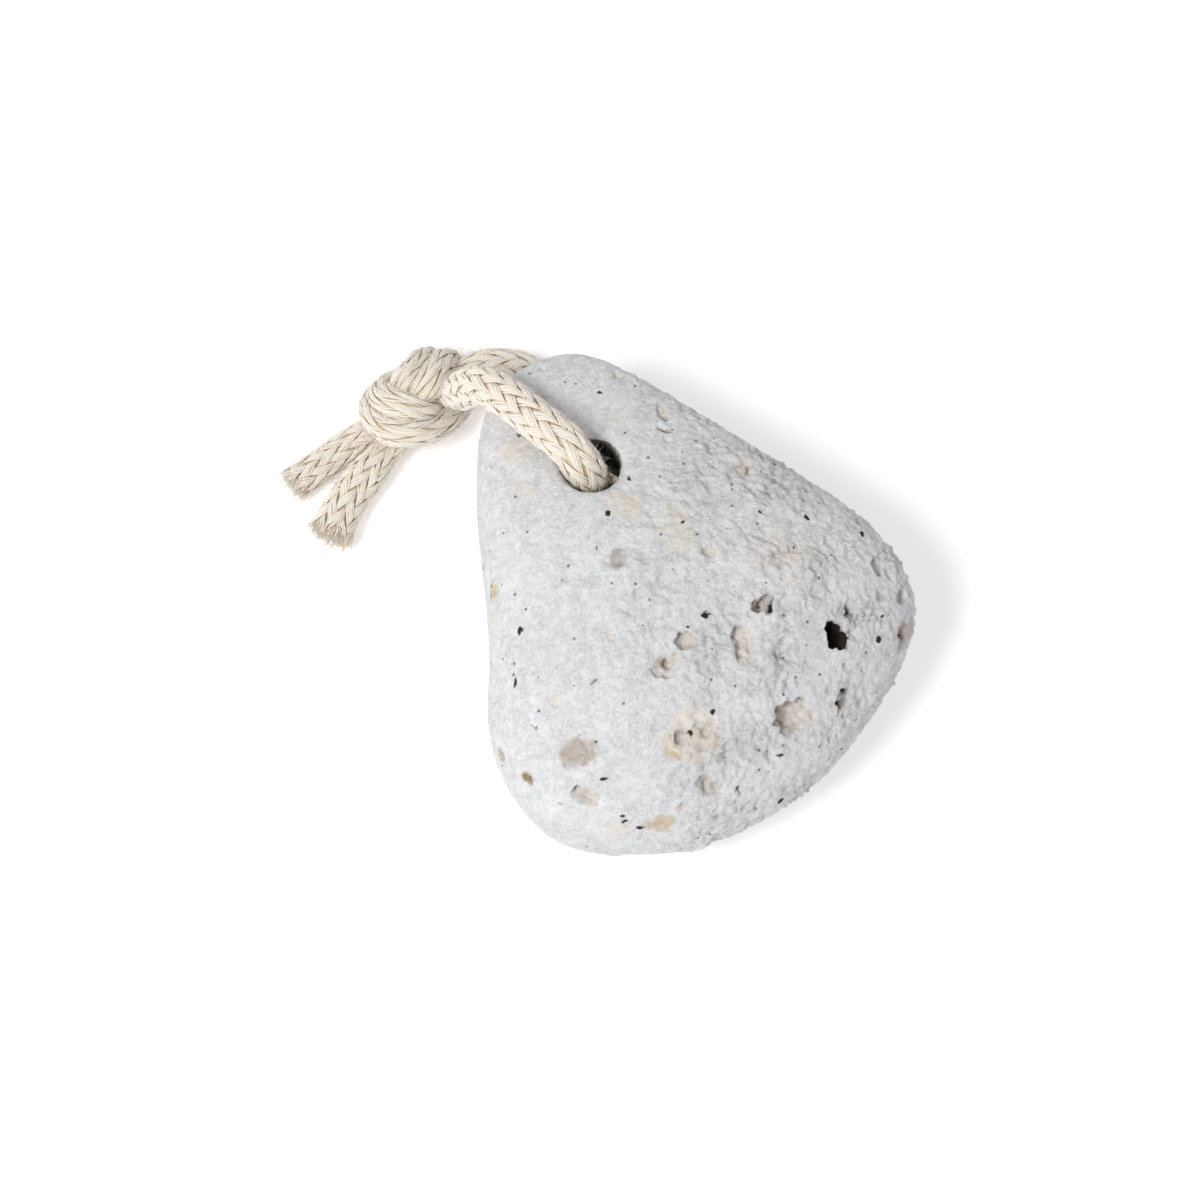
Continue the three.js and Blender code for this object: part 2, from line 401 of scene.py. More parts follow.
def in_bore(points):
    """1 where the cord is down in the drilled hole, running out to 0 at its mouths."""
    height = points[:, 2]
    near = np.linalg.norm(points[:, :2] - hole_middle, axis=1) < hole_reach
    inside = np.minimum((hole_high - height) / hole_fade, (height - hole_low) / hole_fade)
    return near * np.clip(inside, 0, 1)


def wander(s, size, finest):
    """A slow random drift along a yarn."""
    drift = np.zeros_like(s)
    for k in range(4):
        wave = finest * (1.7 ** k)
        drift += np.sin(2 * math.pi * s / wave + rng.uniform(0, 2 * math.pi)) * rng.uniform(0.4, 1)
    return drift * size / 2


def braid_strands(name, direction, first_strand):
    """Six neighbouring strands that wind one way, as yarn tubes."""
    tubes = []
    depths = []
    lengths = []
    rings = round(cord_length / yarn_step)
    lean = math.atan(2 * math.pi * braid_radius / braid_pitch)
    middle = (yarns_per_strand - 1) / 2
    strand_turn = 2 * math.pi / strand_count
    for strand in range(first_strand, first_strand + strands_per_piece):
        start_angle = strand * strand_turn
        strand_drift = rng.uniform(-0.03, 0.03)
        for yarn in range(yarns_per_strand):
            # no two yarns are cut off at quite the same length
            short_end, long_end = rng.uniform(-0.0006, 0.0008), rng.uniform(-0.0006, 0.0014)
            s = np.linspace(-short_end, cord_length + long_end, rings)
            turned = np.interp(s, along, turning)
            centre_angle = start_angle + strand_drift + direction * turned
            over = direction * np.cos(math.pi / strand_turn * centre_angle - math.pi / 4)
            spread = 0.86 + 0.18 * np.tanh(2 * over)
            u = (yarn - middle) * yarn_spacing * spread + wander(s, 0.00009, 0.0031)
            s_yarn = s - direction * u * math.sin(lean)
            turned = np.interp(s_yarn, along, turning)
            straight = start_angle + strand_drift + direction * turned
            sway = np.sin(math.pi / strand_turn * straight - math.pi / 4) * strand_turn / math.pi
            angle = straight + strand_sway * direction * sway + u * math.cos(lean) / braid_radius
            crossing = (angle + direction * turned) / strand_turn
            state = direction * np.cos(math.pi / 2 * (crossing + strand) - math.pi / 4)
            state = np.tanh(2.2 * state) / math.tanh(2.2)
            crown = strand_crown * (1 - ((yarn - middle) / (middle + 0.5)) ** 2) * (state > 0) * state
            radius = braid_radius + braid_lift * state + crown + wander(s, 0.00006, 0.0023)
            # the braid opens a little at its cut ends
            from_long_end = np.maximum(cord_length - s, 0)
            radius *= 1 + 0.24 * np.exp(-from_long_end / 0.0022)
            radius *= 1 + 0.12 * np.exp(-np.maximum(s, 0) / 0.0018)
            path, centre, pressed = lay_on_cord(s_yarn, angle, radius, yarn_radius)
            size = np.interp(s, along, thickness)
            across = yarn_radius * 1.16 * size * (1 + wander(s, 0.06, 0.0041))
            through = yarn_radius * 0.95 * size
            taper = np.clip(np.minimum(np.arange(rings), np.arange(rings)[::-1]) / 2, 0.45, 1)
            tubes.append(tube_points(path, path - centre, yarn_sides, across * taper, through * taper))
            # painted shade: a yarn is coloured towards tan where it dips under the crossing strands, at the
            # edges of its strand and where another turn presses on it
            edge = abs(yarn - middle) / middle
            gap_shade = (1 - state) / 2 * 0.8 + 0.12 * edge + np.clip(pressed / 0.0006, 0, 1) * 0.3
            depths.append(np.clip(gap_shade, 0, 1) + in_bore(path))
            lengths.append(cord_length * 1000)
    return mesh_of_tubes(name, tubes, depths, lengths)


strand_pieces = [
    braid_strands(f"cord_{way}_strands_{first_strand // strands_per_piece + 1}", direction, first_strand)
    for way, direction in (("left", -1), ("right", 1))
    for first_strand in range(0, strand_count, strands_per_piece)
]

core_inset = 0.0008
core_sides = 14
core_margin = 0.0005
core_s = np.linspace(core_inset, cord_length - core_inset, 420)
core_angles = np.arange(core_sides) * 2 * math.pi / core_sides
core_rings = []
for turn in core_angles:
    core_points = lay_on_cord(core_s, np.full(len(core_s), turn), core_radius, core_margin)[0]
    core_rings.append(core_points)
cord_core = mesh_of_tubes(
    "cord_core", [np.stack(core_rings, axis=1)], [np.full(len(core_s), 1.0)], [cord_length * 1000])

# ---- Cord: lint and cut ends --------------------------------------------------------------------
# Soft-spun cotton sheds fine fibres all along its surface, and the two cut ends fray into loose
# tufts.
fibre_radius = 0.000022
fibre_rings = 4
surface_fibres = 8400
end_fibres = 500


def fibre_mesh(name, roots, aims, reaches, curls, widths):
    """Hair-thin closed tubes that curl as they go."""
    steps = np.linspace(0, 1, fibre_rings)[None, :, None]
    reaches = reaches[:, None, None]
    paths = roots[:, None] + aims[:, None] * reaches * steps + curls[:, None] * reaches * steps ** 2
    paths[..., 2] = np.maximum(paths[..., 2], fibre_radius)
    taper = np.linspace(1, 0.45, fibre_rings)
    tubes = []
    for path, aim, width in zip(paths, aims, widths):
        outward = np.tile(np.cross(aim, (0.3, 0.5, 0.8)), (fibre_rings, 1))
        tubes.append(tube_points(path, outward, 3, width * taper, width * taper))
    return mesh_of_tubes(name, tubes, [np.zeros(fibre_rings)] * len(tubes), [1.5] * len(tubes))


def unit(vectors):
    return vectors / np.maximum(np.linalg.norm(vectors, axis=1), 1e-9)[:, None]


def lint_along_cord(name):
    """Short loose fibres standing a little off the cord all along it."""
    s = rng.uniform(0, cord_length, surface_fibres)
    angle = rng.uniform(0, 2 * math.pi, surface_fibres)
    roots, centres, _ = lay_on_cord(s, angle, np.full(surface_fibres, cord_radius - 0.0002), 0.0001)
    run = forward[np.clip((s / spacing).astype(int), 0, count - 1)]
    out = np.abs(rng.normal(0.3, 0.35, surface_fibres))
    aims = run * rng.normal(0, 0.8, surface_fibres)[:, None] + unit(roots - centres) * out[:, None]
    aims = unit(aims + rng.normal(0, 0.45, (surface_fibres, 3)))
    reaches = np.minimum(0.0006 + rng.exponential(0.0005, surface_fibres), 0.0024)
    curls = rng.normal(0, 0.45, (surface_fibres, 3))
    return fibre_mesh(name, roots, aims, reaches, curls, np.full(surface_fibres, fibre_radius))


def tuft(name, end, outward_run, spread):
    """The frayed brush of fibres at a cut end."""
    angle = rng.uniform(0, 2 * math.pi, end_fibres)
    reach = cord_radius * np.sqrt(rng.uniform(0, 1, end_fibres)) * spread
    spoke = np.cos(angle)[:, None] * side[end] + np.sin(angle)[:, None] * other_side[end]
    roots = cord_line[end] + spoke * reach[:, None] - outward_run * 0.0006
    aims = outward_run + spoke * (reach / cord_radius * 0.6)[:, None]
    aims = unit(aims + rng.normal(0, 0.35, (end_fibres, 3)))
    reaches = rng.uniform(0.0007, 0.0020, end_fibres)
    curls = rng.normal(0, 0.35, (end_fibres, 3))
    return fibre_mesh(name, roots, aims, reaches, curls, np.full(end_fibres, fibre_radius * 1.6))


lint_pieces = [
    lint_along_cord("cord_lint_1"),
    lint_along_cord("cord_lint_2"),
    tuft("cord_end_short", 0, -forward[0], 0.80),
    tuft("cord_end_long", count - 1, forward[-1], 1.15),
]

# ---- Cord: its finish ---------------------------------------------------------------------------
# Undyed cotton: cream where it shows, with the fine twist of the spun yarn. Between the strands it
# is painted warmer and tan, as painted shade.


def cotton_finish(name, cream, tan):
    finish = bpy.data.materials.new(name)
    finish.use_nodes = True
    nodes = finish.node_tree.nodes
    links = finish.node_tree.links
    shader = nodes["Principled BSDF"]
    shader.inputs["Roughness"].default_value = 0.88
    shader.inputs["Specular IOR Level"].default_value = 0.25
    shader.inputs["Sheen Weight"].default_value = 0.3
    shader.inputs["Sheen Roughness"].default_value = 0.5
    shader.inputs["Subsurface Weight"].default_value = 0.35
    shader.inputs["Subsurface Radius"].default_value = (1, 0.75, 0.5)
    shader.inputs["Subsurface Scale"].default_value = 0.0004

    depth = nodes.new("ShaderNodeAttribute")
    depth.attribute_name = "depth"
    position = nodes.new("ShaderNodeTexCoord")
    patches = nodes.new("ShaderNodeTexNoise")
    patches.inputs["Scale"].default_value = 420
    patches.inputs["Detail"].default_value = 3
    links.new(position.outputs["Object"], patches.inputs["Vector"])
    amount = nodes.new("ShaderNodeMath")
    amount.operation = "MULTIPLY_ADD"
    links.new(patches.outputs["Fac"], amount.inputs[0])
    amount.inputs[1].default_value = 0.5
    amount.inputs[2].default_value = -0.2
    total = nodes.new("ShaderNodeMath")
    total.operation = "ADD"
    total.use_clamp = True
    links.new(depth.outputs["Fac"], total.inputs[0])
    links.new(amount.outputs["Value"], total.inputs[1])
    colour = nodes.new("ShaderNodeMix")
    colour.data_type = "RGBA"
    links.new(total.outputs["Value"], colour.inputs[0])
    colour.inputs[6].default_value = (*cream, 1)
    colour.inputs[7].default_value = (*tan, 1)
    # no light reaches the cord down in the hole, so it is coloured nearly black there
    down_bore = nodes.new("ShaderNodeMapRange")
    down_bore.inputs["From Min"].default_value = 1.05
    down_bore.inputs["From Max"].default_value = 1.5
    links.new(depth.outputs["Fac"], down_bore.inputs["Value"])
    shaded_cotton = nodes.new("ShaderNodeMix")
    shaded_cotton.data_type = "RGBA"
    links.new(down_bore.outputs["Result"], shaded_cotton.inputs[0])
    links.new(colour.outputs[2], shaded_cotton.inputs[6])
    shaded_cotton.inputs[7].default_value = (0.06, 0.05, 0.04, 1)
    links.new(shaded_cotton.outputs[2], shader.inputs["Base Color"])

    twist_map = nodes.new("ShaderNodeUVMap")
    twist_map.uv_map = "along_yarn"
    stretch = nodes.new("ShaderNodeMapping")
    stretch.inputs["Scale"].default_value = (1.1, 1, 1)
    stretch.inputs["Rotation"].default_value = (0, 0, math.radians(45))
    links.new(twist_map.outputs["UV"], stretch.inputs["Vector"])
    twist = nodes.new("ShaderNodeTexWave")
    twist.inputs["Scale"].default_value = 1.6
    twist.inputs["Distortion"].default_value = 2.2
    twist.inputs["Detail"].default_value = 2
    links.new(stretch.outputs["Vector"], twist.inputs["Vector"])
    bump = nodes.new("ShaderNodeBump")
    bump.inputs["Strength"].default_value = 0.5
    bump.inputs["Distance"].default_value = 0.00006
    links.new(twist.outputs["Fac"], bump.inputs["Height"])
    links.new(bump.outputs["Normal"], shader.inputs["Normal"])
    return finish


cotton = cotton_finish("natural cotton", (0.94, 0.87, 0.78), (0.82, 0.64, 0.44))
# the core shows only down in the gaps between the strands, so its cotton is painted a darker tan, as
# painted shade
shaded_core_cotton = cotton_finish("cotton core", (0.74, 0.57, 0.38), (0.66, 0.48, 0.29))
cord_finishes = [(piece, cotton) for piece in strand_pieces + lint_pieces] + [(cord_core, shaded_core_cotton)]
for piece, finish in cord_finishes:
    piece.data.materials.append(finish)
    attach(piece, "root")
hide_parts("cord_loop", "cord_knot", "cord_tail_long", "cord_tail_short")

# ---- Stone: its body ----------------------------------------------------------------------------
# One natural piece of pumice, tumbled smooth by water and worn, with a hole drilled through its
# narrow end for the cord. Gas bubbles left open pits all over it.
bore_radius = 0.0046
bore_top = Vector((-0.0169, 0.0179, 0.0324))
bore_down = Vector((0.05, 0.15, -1)).normalized()
bore_length = 0.034
bore_overrun = 0.006

bpy.ops.object.select_all(action="DESELECT")
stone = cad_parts["pumice_stone"].copy()
stone.data = stone.data.copy()
stone.name = "pumice"
stone.data.materials.clear()
bpy.context.collection.objects.link(stone)
bpy.context.view_layer.objects.active = stone
stone.select_set(True)
bpy.ops.object.mode_set(mode="EDIT")
bpy.ops.mesh.select_all(action="SELECT")
bpy.ops.mesh.remove_doubles(threshold=0.000002)
bpy.ops.object.mode_set(mode="OBJECT")


def finish_modifier(piece, kind, **settings):
    """Adds a modifier to the piece, sets it up and applies it."""
    bpy.ops.object.select_all(action="DESELECT")
    piece.select_set(True)
    bpy.context.view_layer.objects.active = piece
    modifier = piece.modifiers.new(kind.lower(), kind)
    for setting, value in settings.items():
        setattr(modifier, setting, value)
    bpy.ops.object.modifier_apply(modifier=modifier.name)


finish_modifier(stone, "REMESH", mode="VOXEL", voxel_size=0.0006)
finish_modifier(stone, "SMOOTH", factor=0.5, iterations=26)
whole_surface = BVHTree.FromObject(stone, bpy.context.evaluated_depsgraph_get())

# ---- Stone: its drilled hole and open bubbles ---------------------------------------------------
# The drill left a straight wall and a slightly broken edge. The larger bubbles are ragged
# hollows with steep walls. Each is cut from the body with a shape of its own.
ragged = bpy.data.textures.new("ragged", "CLOUDS")
ragged.noise_scale = 0.0028
ragged.noise_depth = 4
crumbly = bpy.data.textures.new("crumbly", "CLOUDS")
crumbly.noise_scale = 0.0009
crumbly.noise_depth = 2


def cut_away(cutter):
    finish_modifier(stone, "BOOLEAN", operation="DIFFERENCE", solver="MANIFOLD", object=cutter)
    bpy.data.objects.remove(cutter)


bpy.ops.object.select_all(action="DESELECT")
bpy.ops.mesh.primitive_cylinder_add(vertices=72, radius=bore_radius, depth=bore_length)
drill = bpy.context.object
drill.rotation_mode = "QUATERNION"
drill.rotation_quaternion = (-bore_down).to_track_quat("Z", "Y")
drill.location = bore_top + bore_down * (bore_length / 2 - bore_overrun)
bpy.ops.object.mode_set(mode="EDIT")
bpy.ops.mesh.select_all(action="SELECT")
bpy.ops.mesh.subdivide(number_cuts=6)
bpy.ops.object.mode_set(mode="OBJECT")
bpy.ops.object.transform_apply(location=True, rotation=True, scale=True)
finish_modifier(drill, "DISPLACE", texture=ragged, strength=0.0005, mid_level=0.5, texture_coords="LOCAL")
cut_away(drill)

mm = 0.001
bubble_voxel = 0.00022


def on_top(across, along):
    """The place on the stone's upper side, from its distances to the right and towards the tip."""
    return whole_surface.ray_cast(Vector((across * mm, along * mm, 0.1)), Vector((0, 0, -1)))[0]


# In millimetres: place to the right and towards the tip, length, width, depth. Then the turn in
# degrees, how far the shape's middle stands out of the surface (0 for steep walls, towards 1 for
# a saucer) and the raggedness.
bubbles = [
    (22, -11, 6.0, 3.5, 10, 120, 0.0, 0.4),
    (10, -8, 4.4, 3.4, 2.6, 20, 0.1, 0.6),
    (7, -14.5, 8.0, 4.8, 2.2, 118, 0.35, 1.2),
    (-5, -18, 4.8, 3.6, 2.6, 60, 0.1, 0.7),
    (-2.5, -14, 4.6, 2.8, 1.8, 55, 0.2, 0.9),
    (14, -24.5, 6.0, 5.6, 3.6, 0, 0.1, 0.6),
    (-19, -31.5, 6.4, 5.0, 0.8, 10, 0.3, 0.3),
    (-18, -37, 5.4, 3.6, 2.0, 150, 0.2, 0.4),
    (-27, -33.5, 1.9, 2.6, 1.6, 80, 0.1, 0.3),
    (-31, -28.5, 2.6, 2.0, 1.4, 60, 0.1, 0.5),
    (-12.5, -29.5, 4.2, 3.6, 0.7, 0, 0.6, 0.5),
    (2, -35.5, 5.2, 3.4, 1.9, 160, 0.2, 0.9),
    (6, -35, 2.6, 1.4, 2.0, 100, 0.0, 0.4),
    (9, -36, 3.6, 1.8, 1.8, 100, 0.1, 0.5),
    (33, -7.5, 4.8, 3.0, 2.0, 90, 0.2, 0.5),
    (33, -1.5, 4.6, 3.2, 1.6, 70, 0.3, 0.6),
    (29, 2, 4.8, 3.4, 1.6, 110, 0.3, 0.7),
    (14, 0.5, 7.6, 6.2, 1.5, 50, 0.5, 0.8),
    (7.5, 17.5, 6.6, 5.0, 1.6, 30, 0.4, 1.0),
    (6.5, 21.5, 1.8, 1.4, 1.5, 0, 0.0, 0.5),
    (1.5, 1, 4.6, 3.0, 1.4, 130, 0.3, 0.9),
    (-5, 28.5, 3.8, 2.6, 1.7, 110, 0.2, 0.8),
    (-5, 25, 3.6, 1.2, 1.2, 155, 0.1, 0.7),
    (-13, -0.5, 3.6, 3.0, 0.9, 20, 0.4, 0.5),
    (-1, -28.5, 9.0, 7.4, 1.6, 40, 0.5, 1.0),
    (24, -6.5, 4.6, 3.6, 1.6, 40, 0.3, 0.8),
    (23, -20, 5.0, 3.6, 1.4, 60, 0.4, 0.8),
]
bubble_rng = np.random.default_rng(5)
for across, along_stone, length, width, depth, turn, stand, rough in bubbles:
    surface = BVHTree.FromObject(stone, bpy.context.evaluated_depsgraph_get())
    spot, normal, _, _ = surface.find_nearest(on_top(across, along_stone))
    tall = depth * mm / (1 - stand)
    wide = mm / 2 / math.sqrt(1 - stand ** 2)
    eastward = (Vector((1, 0, 0)) - normal * normal.x).normalized()
    upright = Matrix((eastward, normal.cross(eastward), normal)).transposed().to_4x4()
    spin = Matrix.Rotation(math.radians(turn), 4, "Z")
    size = Matrix.Diagonal((length * wide, width * wide, tall, 1))
    settle = Matrix.Translation(spot + normal * stand * tall) @ upright @ spin @ size
    bpy.ops.object.select_all(action="DESELECT")
    bpy.ops.mesh.primitive_ico_sphere_add(subdivisions=4, radius=0.86)
    bubble = bpy.context.object
    for _ in range(5):
        beside = (bubble_rng.uniform(-0.75, 0.75), bubble_rng.uniform(-0.7, 0.7), -0.1)
        bpy.ops.mesh.primitive_ico_sphere_add(
            subdivisions=3, radius=bubble_rng.uniform(0.25, 0.5), location=beside)
        bubble.select_set(True)
        bpy.context.view_layer.objects.active = bubble
        bpy.ops.object.join()
    bubble.data.transform(settle)
    finish_modifier(bubble, "REMESH", mode="VOXEL", voxel_size=bubble_voxel)
    finish_modifier(bubble, "DISPLACE", texture=ragged, strength=0.0026 * rough, mid_level=0.5,
                    texture_coords="LOCAL")
    finish_modifier(bubble, "DISPLACE", texture=crumbly, strength=0.0015, mid_level=0.5,
                    texture_coords="LOCAL")
    finish_modifier(bubble, "REMESH", mode="VOXEL", voxel_size=bubble_voxel)
    cut_away(bubble)

finish_modifier(stone, "REMESH", mode="VOXEL", voxel_size=0.0003)

# ---- Stone: its worn, bumpy surface -------------------------------------------------------------
# Water and use rounded the whole stone. Its left side is rubbed almost smooth, and the rest is
# covered in low bumps, fine grains and small open bubbles.
mesh = stone.data
places = np.zeros(len(mesh.vertices) * 3)
mesh.vertices.foreach_get("co", places)
places = places.reshape(-1, 3)
normals = np.zeros(len(mesh.vertices) * 3)
mesh.vertex_normals.foreach_get("vector", normals)
normals = normals.reshape(-1, 3)


def rough_field(points, scale, seed):
    """Smooth random values from about -1 to 1, as wide as the scale in metres."""
    shift = Vector((seed * 13.7, seed * 5.3, seed * 9.1))
    return np.array([noise.noise(Vector(point) / scale + shift) for point in points])


broad = rough_field(places, 0.013, 1)
lumps = rough_field(places, 0.0042, 2)
knobs = rough_field(places, 0.0019, 3)
grains = rough_field(places, 0.0009, 4)
crumbs = rough_field(places, 0.0013, 7)
hollows = rough_field(places + normals * 0.0006 * knobs[:, None], 0.0034, 5)
pores = rough_field(places, 0.0015, 6)
outside = [whole_surface.find_nearest(Vector(place)) for place in places]
sunk = np.array([distance for _, _, _, distance in outside])
steepness = 1 - np.sum(normals * np.array([normal for _, normal, _, _ in outside]), axis=1)
cavity = np.clip((sunk - 0.0002) / 0.0006, 0, 1)
tumbled = np.clip((places[:, 0] + 0.016 + 0.009 * broad) / 0.016, 0, 1)
tumbled = 0.26 + 0.74 * tumbled * tumbled * (3 - 2 * tumbled)
patchy = np.clip(0.75 + 0.8 * rough_field(places, 0.0065, 8), 0.25, 1.4)
tumbled = np.maximum(tumbled * patchy, 0.8 * cavity)
lift = 0.00045 * broad + tumbled * (0.00038 * lumps + 0.00040 * knobs + 0.00036 * crumbs + 0.00050 * grains)
lift -= tumbled * 0.0008 * np.clip((hollows - 0.36 + 0.30 * knobs) / 0.25, 0, 1)
lift -= tumbled * 0.0005 * np.clip((pores - 0.42 + 0.35 * grains) / 0.2, 0, 1)

tree = KDTree(len(places))
for i, place in enumerate(places):
    tree.insert(place, i)
tree.balance()
pit_rng = np.random.default_rng(21)
pit_depth = np.zeros(len(places))
pit_count = 620
for spot in pit_rng.integers(0, len(places), pit_count):
    strength = tumbled[spot]
    if pit_rng.uniform() > 0.15 + 0.85 * strength:
        continue
    radius = min(0.00028 + pit_rng.exponential(0.00022), 0.0013)
    depth = radius * pit_rng.uniform(0.35, 0.8)
    lean = pit_rng.normal(0, 0.3, 3)
    for place, i, distance in tree.find_range(places[spot], radius * 1.3):
        edge = distance / (radius * (1 + 0.8 * knobs[i] + 0.8 * grains[i]))
        if edge < 1:
            pit_depth[i] = max(pit_depth[i], depth * (1 - edge ** 2.5))
lift -= pit_depth
resting = places[:, 2] < 0.0006
lift[resting] = np.minimum(lift[resting], 0)
places += normals * lift[:, None]
places[:, 2] = np.maximum(places[:, 2], 0)
mesh.vertices.foreach_set("co", places.ravel())
mesh.update()

# ---- Stone: its colours -------------------------------------------------------------------------
# Pale cool grey pumice, dusted white. The bubbles are lined with cream, some patches are stained
# tan or ochre, and small dark crystals are set in the surface. Bubble walls that face away from
# the lamp are painted dark brown, as painted shade.
cream = (0.90, 0.84, 0.76)
warm_cream = (0.88, 0.79, 0.66)
beige = (0.56, 0.48, 0.41)
wall_shade_brown = (0.28, 0.19, 0.11)
ochre = (0.66, 0.50, 0.30)
amber = (0.42, 0.29, 0.15)
warm_grey = (0.50, 0.46, 0.44)
dark = (0.035, 0.034, 0.036)
# In millimetres: place to the right and towards the tip, and reach. Then colour and strength.
stains = [
    (16, -24.5, 2.8, warm_cream, 0.7),
    (-1, -28.5, 4.8, warm_cream, 0.8),
    (-3.5, -30, 3.0, ochre, 0.6),
    (-19, -31.5, 3.1, beige, 0.95),
    (-27, -33.5, 1.4, amber, 0.95),
    (-31, -28.5, 1.6, beige, 0.8),
    (-13, -0.5, 1.9, warm_grey, 0.9),
    (-11.5, 9.5, 3.4, warm_cream, 0.7),
    (-3, 7.5, 2.6, warm_cream, 0.6),
    (-3.5, 4, 3.4, warm_cream, 0.6),
    (-5.5, -40, 2.4, ochre, 0.7),
    (-13, -40.5, 2.6, cream, 0.7),
    (-32.5, -2, 2.6, ochre, 0.8),
    (-32.5, -8, 3.4, cream, 0.6),
    (33, -7.5, 3.0, beige, 0.8),
    (-29, 21.5, 3.4, warm_cream, 0.45),
    (-28, 13.5, 2.6, warm_cream, 0.4),
    (14, 0.5, 5.0, cream, 0.4),
    (7.5, 17.5, 3.4, cream, 0.5),
    (-15.5, 32.5, 2.4, cream, 0.3),
    (-12, 27, 3.2, cream, 0.35),
]
# In millimetres: place and reach of the larger dark crystals.
specks = [
    (25.5, -21.5, 0.9), (1, -9.5, 1.2), (13, -34, 1.0), (2, -25, 0.7), (12.5, -30, 0.8), (28.5, -10, 1.0),
    (-15.5, 32.5, 0.7), (-11.5, 24, 0.7), (-9, 19.5, 0.9), (-28.5, 24.5, 0.7), (-11, 15, 0.8),
    (-20.5, -1, 0.8), (-16, 1.5, 0.6), (10, 8.5, 0.7), (17.5, 8.5, 0.8), (26.5, 7, 0.8),
    (-28.5, -19.5, 0.9), (-16.5, -21, 0.8), (-28, -11, 0.7), (-9, -40.5, 1.1), (-22, -37.5, 0.7),
    (-15, -35, 0.8),
]
stain_colour = np.zeros((len(places), 4))
# painted shade: the steep bubble walls that face right, away from the lamp, are coloured dark brown where
# their own shadow falls
facing_right = np.clip(0.25 + 1.2 * normals[:, 0], 0, 1)
wall_shade = cavity * np.clip(2.2 * steepness - 0.05 + 0.6 * knobs, 0, 1) * facing_right
stain_colour[:, :3] = np.array(cream) * (1 - wall_shade[:, None]) + np.array(wall_shade_brown) * wall_shade[:, None]
lining = np.clip(pit_depth / 0.00035, 0, 1)
stain_colour[:, 3] = np.maximum(0.5 * lining, np.maximum(0.8 * cavity, 0.98 * wall_shade))
for across, along_stone, reach, colour, strength in stains:
    reach *= mm
    for _, i, distance in tree.find_range(on_top(across, along_stone), reach * 1.6):
        fade = 1 - distance / reach + 0.45 * knobs[i] + 0.25 * lumps[i] + 0.3 * grains[i]
        fade = min(max(fade * 2.5, 0), 1) * strength * (1 - 0.8 * wall_shade[i])
        if fade > stain_colour[i, 3]:
            stain_colour[i] = (*colour, fade)
# no light reaches the bottom of the deepest bubble or the wall of the drilled hole, so both are
# coloured nearly black
shade = (0.045, 0.036, 0.028)
deep_across, deep_along = bubbles[0][:2]
deep_reach = 0.012
from_hole = np.linalg.norm(places - np.array(on_top(deep_across, deep_along)), axis=1)
in_hole = np.clip((sunk - 0.0005) / 0.0006, 0, 1) * (from_hole < deep_reach)
from_top = (places - np.array(bore_top)) @ np.array(bore_down)
from_axis = np.linalg.norm(places - np.array(bore_top) - from_top[:, None] * np.array(bore_down), axis=1)
bore_wall = np.clip((from_top - 0.0002) / 0.0016, 0, 1) * (from_axis < bore_radius + 0.0004)
bore_wall *= places[:, 2] > 0.002
shaded = np.maximum(in_hole, 0.95 * bore_wall)[:, None]
stain_colour[:, :3] = stain_colour[:, :3] * (1 - shaded) + np.array(shade) * shaded
stain_colour[:, 3] = np.maximum(stain_colour[:, 3], shaded[:, 0])
dark_amount = np.zeros(len(places))
speck_rng = np.random.default_rng(33)
small_crystals = 150
crystal_places = [(on_top(across, along_stone), 0.72 * reach * mm) for across, along_stone, reach in specks]
for spot in speck_rng.integers(0, len(places), small_crystals):
    crystal_places.append((Vector(places[spot]), 0.00016 + speck_rng.exponential(0.00011)))
for place, reach in crystal_places:
    for _, i, distance in tree.find_range(place, reach * 1.5):
        value = 1 - distance / reach + 1.1 * grains[i] + 0.5 * knobs[i]
        dark_amount[i] = max(dark_amount[i], min(max(value * 2, 0), 1))
colours = mesh.color_attributes.new("stain", "FLOAT_COLOR", "POINT")
colours.data.foreach_set("color", stain_colour.ravel())
dark_spots = mesh.attributes.new("speck", "FLOAT", "POINT")
dark_spots.data.foreach_set("value", dark_amount)
crumbly_part = mesh.attributes.new("crumbly", "FLOAT", "POINT")
crumbly_part.data.foreach_set("value", tumbled)
for polygon in mesh.polygons:
    polygon.use_smooth = True

most_triangles = 192000
finish_modifier(stone, "TRIANGULATE")
finish_modifier(stone, "DECIMATE", ratio=min(1, most_triangles / len(stone.data.polygons)))

# ---- Stone: its finish --------------------------------------------------------------------------
# Chalky, dry and matt, with a fine grain that catches the light, and painted highlight and shade on the
# grain.
pumice_finish = bpy.data.materials.new("pumice")
pumice_finish.use_nodes = True
nodes = pumice_finish.node_tree.nodes
links = pumice_finish.node_tree.links
shader = nodes["Principled BSDF"]
shader.inputs["Roughness"].default_value = 0.95
shader.inputs["Specular IOR Level"].default_value = 0.18
position = nodes.new("ShaderNodeTexCoord")


def pattern(scale, detail, roughness=0.6):
    """A random pattern over the stone."""
    field = nodes.new("ShaderNodeTexNoise")
    field.inputs["Scale"].default_value = scale
    field.inputs["Detail"].default_value = detail
    field.inputs["Roughness"].default_value = roughness
    links.new(position.outputs["Object"], field.inputs["Vector"])
    return field.outputs["Fac"]


def ramp(value, low, high):
    """The value stretched so that low becomes 0 and high becomes 1."""
    stretch = nodes.new("ShaderNodeMapRange")
    stretch.inputs["From Min"].default_value = low
    stretch.inputs["From Max"].default_value = high
    links.new(value, stretch.inputs["Value"])
    return stretch.outputs["Result"]


